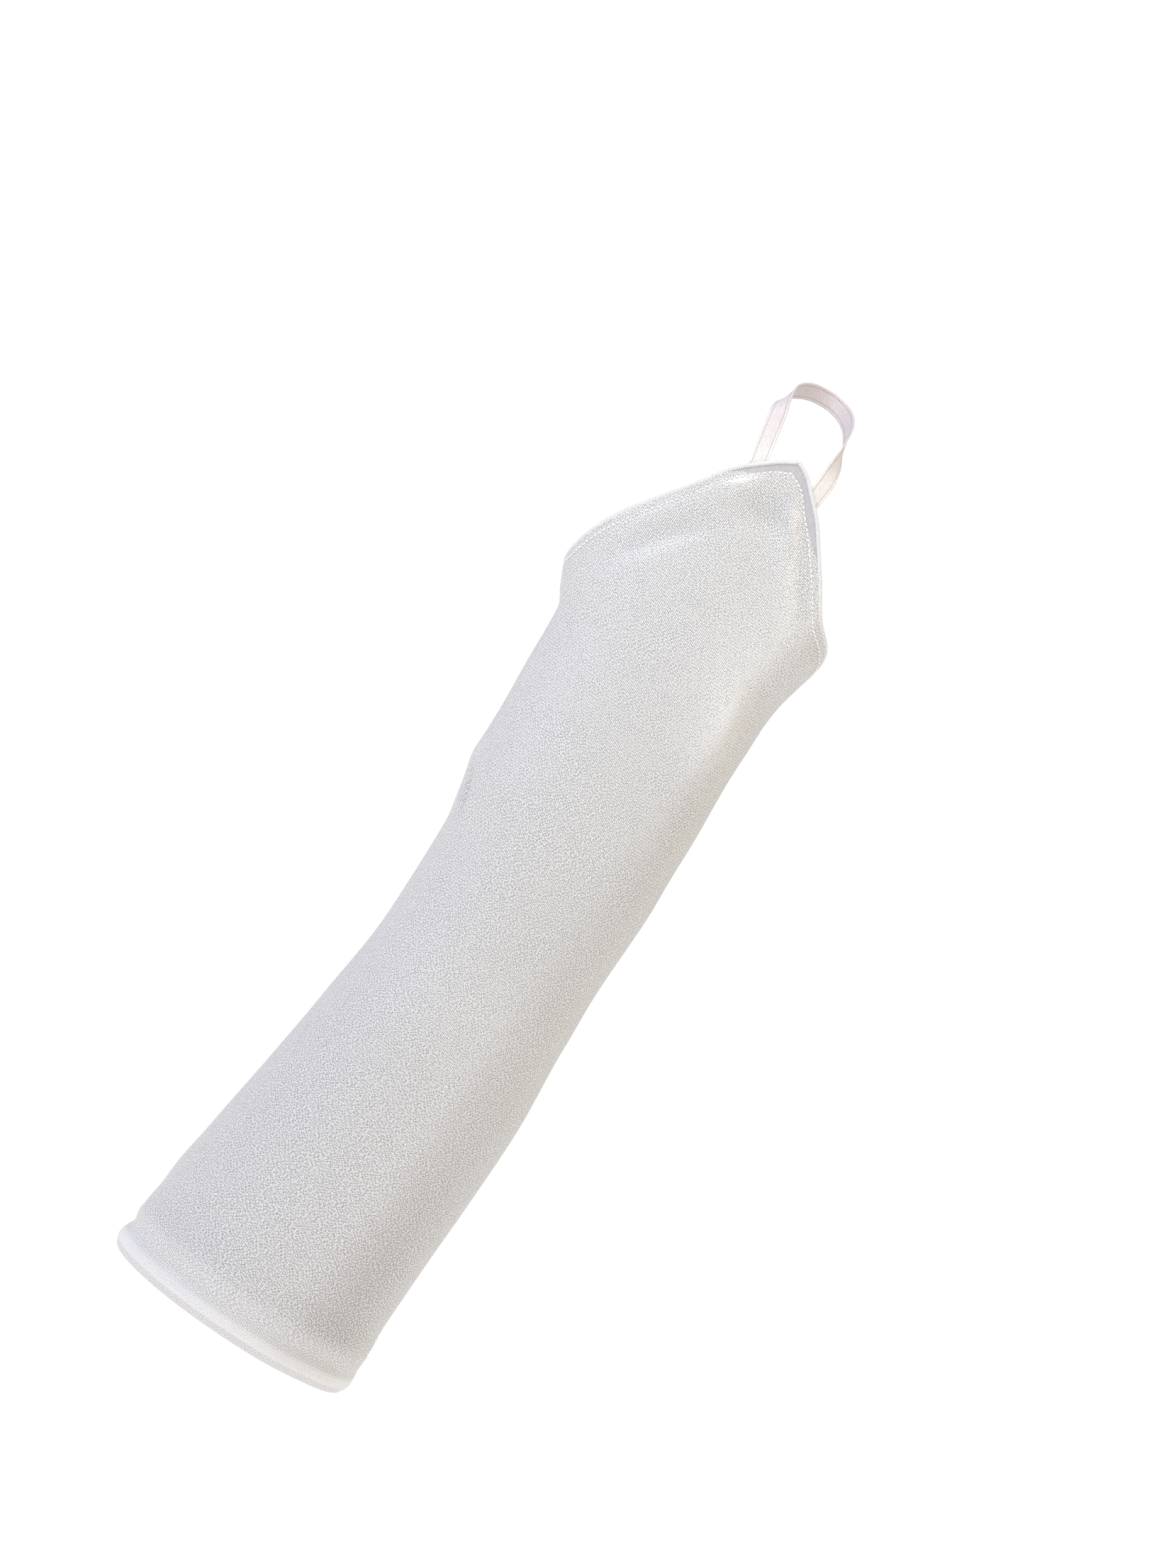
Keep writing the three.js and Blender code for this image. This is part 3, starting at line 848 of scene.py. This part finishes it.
def ribbon_loop():
    """The finger loop, with its two ends sewn behind the band."""
    places = np.array([[stop[axis] for axis in "xyz"] for stop in RIBBON_ROUTE]) * MM
    shares, length = share_of_length(places)
    rows = [
        dict(at=share, x=place[0], y=place[1], z=place[2], facing=stop["facing"])
        for share, place, stop in zip(shares, places, RIBBON_ROUTE)
    ]
    route = [curve_through(rows, "at", axis) for axis in "xyz"]
    facing_at = curve_through(rows, "at", "facing")

    bm = bmesh.new()
    bmesh.ops.create_grid(bm, x_segments=14, y_segments=260, size=0.5)
    mesh = bpy.data.meshes.new("ribbon_loop")
    bm.to_mesh(mesh)
    bm.free()
    co = positions(mesh)
    across, along = co[:, 0], co[:, 1] + 0.5

    def spot(share):
        return np.stack([axis(share) for axis in route], axis=-1)

    onward = unit(spot(np.clip(along + 0.01, 0, 1)) - spot(np.clip(along - 0.01, 0, 1)))
    facing = np.radians(facing_at(along))
    looks = np.stack([-np.sin(facing), -np.cos(facing), np.zeros_like(facing)], axis=-1)
    wide = unit(np.cross(onward, looks))
    warp(mesh, spot(along) + wide * (across * RIBBON_WIDTH)[:, None])
    corner = corners(mesh)
    unwrap(mesh, across[corner] + 0.5, along[corner] * length)
    piece = finished("ribbon_loop", mesh, RIBBON, ["finger_loop"])
    solidify(piece, RIBBON_THICK, 0.0)
    return piece


def stitch_mesh(length, radius, dip):
    """One stitch along X, with its ends dipping into the cloth, towards -Z."""
    bm = bmesh.new()
    lying = Matrix.Rotation(math.pi / 2, 4, "Y")
    bmesh.ops.create_uvsphere(bm, u_segments=6, v_segments=7, radius=1, matrix=lying)
    bmesh.ops.scale(bm, vec=(length / 2, radius, radius), verts=bm.verts)
    for vert in bm.verts:
        vert.co.z -= dip * (2 * vert.co.x / length) ** 2
    mesh = bpy.data.meshes.new("stitch")
    bm.to_mesh(mesh)
    bm.free()
    return mesh


def sewn_line(name, stitch, spots, onward, outward):
    """Copies of a stitch at spots, along onward and standing outward, joined into one piece."""
    bm = bmesh.new()
    for spot, ahead, out in zip(spots, onward, outward):
        ahead, out = Vector(ahead), Vector(out)
        side = out.cross(ahead).normalized()
        turned = Matrix((ahead, side, ahead.cross(side))).transposed().to_4x4()
        copy = stitch.copy()
        copy.transform(Matrix.Translation(Vector(spot)) @ turned)
        bm.from_mesh(copy)
        bpy.data.meshes.remove(copy)
    mesh = bpy.data.meshes.new(name)
    bm.to_mesh(mesh)
    bm.free()
    return finished(name, mesh, THREAD)


def edge_stitches():
    """The line of stitches that holds the turned band."""
    count = round(EDGE_LENGTH / STITCH_PITCH)
    along = (np.arange(count) + 0.5) / count
    spots, onward, outward, _ = edge_axes(along, below_for(STITCHES_BELOW, along), STITCH_OUT)
    stitch = stitch_mesh(STITCH_LENGTH, STITCH_RADIUS, STITCH_DIP)
    return sewn_line("edge_stitches", stitch, spots, onward, outward)


sleeve_piece = sleeve()
hem_piece = hem()
band_piece = edge_band()
rim_piece = edge_rim()
stitch_piece = edge_stitches()
ribbon_piece = ribbon_loop()


# Studio: a white floor that runs out of sight, and a white room whose glow changes round the arm
FLOOR_HEIGHT = -0.35
FLOOR_RADIUS = 6
BACKGROUND = 1.05  # the brightness of floor and room, where the camera sees them


def floor():
    """A wide white floor that glows a little, and looks white to the camera."""
    bm = bmesh.new()
    bmesh.ops.create_circle(bm, cap_ends=True, segments=96, radius=FLOOR_RADIUS)
    mesh = bpy.data.meshes.new("floor")
    bm.to_mesh(mesh)
    bm.free()
    mesh.transform(Matrix.Translation((0, 0, FLOOR_HEIGHT)))
    plane = bpy.data.objects.new("floor", mesh)
    bpy.context.scene.collection.objects.link(plane)
    glow = dict(Emission_Color=(1, 0.94, 0.95, 1), Emission_Strength=0.31)
    paint = Finish("white floor", Base_Color=grey(0.9), Roughness=0.9, **glow)
    white = paint.node("ShaderNodeEmission", inputs={"Strength": BACKGROUND})
    surface = paint.tree.nodes["Material Output"].inputs["Surface"]
    paint.link(paint.seen_as(paint.shader.outputs[0], white), surface)
    mesh.materials.append(paint.material)


# The white room's glow round the arm, by degrees from before it towards the little finger
ROOM_ROUND = [
    dict(azimuth=-180, colour=(0.5, 0.53, 0.53)),
    dict(azimuth=-130, colour=(0.84, 0.85, 0.94)),
    dict(azimuth=-100, colour=(0.61, 0.61, 0.7)),
    dict(azimuth=-60, colour=(0.6, 0.59, 0.67)),
    dict(azimuth=-30, colour=(0.51, 0.53, 0.73)),
    dict(azimuth=0, colour=(0.79, 0.77, 0.65)),
    dict(azimuth=25, colour=(0.62, 0.6, 0.62)),
    dict(azimuth=75, colour=(0.48, 0.42, 0.39)),
    dict(azimuth=100, colour=(0.7, 0.6, 0.41)),
    dict(azimuth=130, colour=(0.87, 0.87, 0.78)),
    dict(azimuth=180, colour=(0.5, 0.53, 0.53)),
]


def white_room():
    """A room that lights the sleeve softly from all round, and looks white to the camera."""
    world = bpy.data.worlds.new("white room")
    bpy.context.scene.world = world
    world.use_nodes = True
    world.node_tree.nodes.clear()
    room = Nodes(world.node_tree)
    right, back = room.first_two(room.node("ShaderNodeTexCoord"))
    azimuth = right.maths("ARCTAN2", back * -1)
    share = room.node("ShaderNodeMapRange", inputs={0: azimuth, 1: -math.pi, 2: math.pi})
    stops = [((stop["azimuth"] + 180) / 360, stop["colour"]) for stop in ROOM_ROUND]
    glow = room.node("ShaderNodeValToRGB", {"stops": stops}, {0: share})
    lit = room.node("ShaderNodeBackground", inputs={0: glow})
    white = room.node("ShaderNodeBackground", inputs={0: (1, 1, 1, 1), 1: BACKGROUND})
    room.link(room.seen_as(lit, white), room.tree.nodes.new("ShaderNodeOutputWorld").inputs[0])


# Round lamps that look at LIT_SPOT
LIT_SPOT = Vector((0, 0, 0.22))
LAMPS = [
    dict(name="thumb side lamp", place=(-0.45, -0.35, 0.5), size=0.3, watts=0.84, colour=(0.82, 0.91, 1)),
    dict(name="high lamp", place=(-0.25, -0.3, 0.6), size=0.2, watts=0.65, colour=(0.97, 1, 0.97)),
    dict(name="little side lamp", place=(0.45, -0.3, 0.5), size=0.3, watts=0.28, colour=(0.99, 1, 0.97)),
    dict(name="low lamp", place=(0.42, -0.4, 0.36), size=0.2, watts=0.12, colour=(0.96, 1, 0.76)),
    dict(name="warm lamp", place=(0.12, -0.3, 0.65), size=0.2, watts=0.41, colour=(1, 0.85, 0.6)),
]


def soft_light(name, place, size, watts, colour):
    """One lamp, turned to LIT_SPOT."""
    lamp = bpy.data.lights.new(name, "AREA")
    lamp.shape = "DISK"
    lamp.size = size
    lamp.energy = watts
    lamp.color = colour
    light = bpy.data.objects.new(name, lamp)
    bpy.context.scene.collection.objects.link(light)
    light.location = place
    light.rotation_euler = (LIT_SPOT - Vector(place)).to_track_quat("-Z", "Y").to_euler()


# The photograph's view: its frame at the sleeve's plane, and the arm's lean in it
FRAME_HEIGHT = 0.4136
FRAME_MIDDLE = Vector((-0.0001, 0, 0.1707))
CAMERA_DISTANCE = 1.4
CAMERA_RISE = math.radians(3.1)  # towards the hand
ARM_LEAN = math.radians(34.1)  # clockwise from upright, in the picture


def camera():
    """The camera, at the photograph's view."""
    view = bpy.data.cameras.new("camera")
    view.sensor_fit = "VERTICAL"
    view.sensor_height = 24
    view.lens = view.sensor_height * CAMERA_DISTANCE / FRAME_HEIGHT
    away = Vector((0, -math.cos(CAMERA_RISE), math.sin(CAMERA_RISE)))
    upright = Matrix.Rotation(-ARM_LEAN, 3, away)
    up = upright.inverted() @ Vector((0, math.sin(CAMERA_RISE), math.cos(CAMERA_RISE)))
    right = up.cross(away)
    held = bpy.data.objects.new("camera", view)
    turned = Matrix((right, up, away)).transposed().to_4x4()
    held.matrix_world = Matrix.Translation(FRAME_MIDDLE + CAMERA_DISTANCE * away) @ turned
    bpy.context.scene.collection.objects.link(held)
    bpy.context.scene.camera = held


floor()
white_room()
for lamp in LAMPS:
    soft_light(**lamp)
camera()
bpy.context.scene.view_settings.view_transform = "Standard"
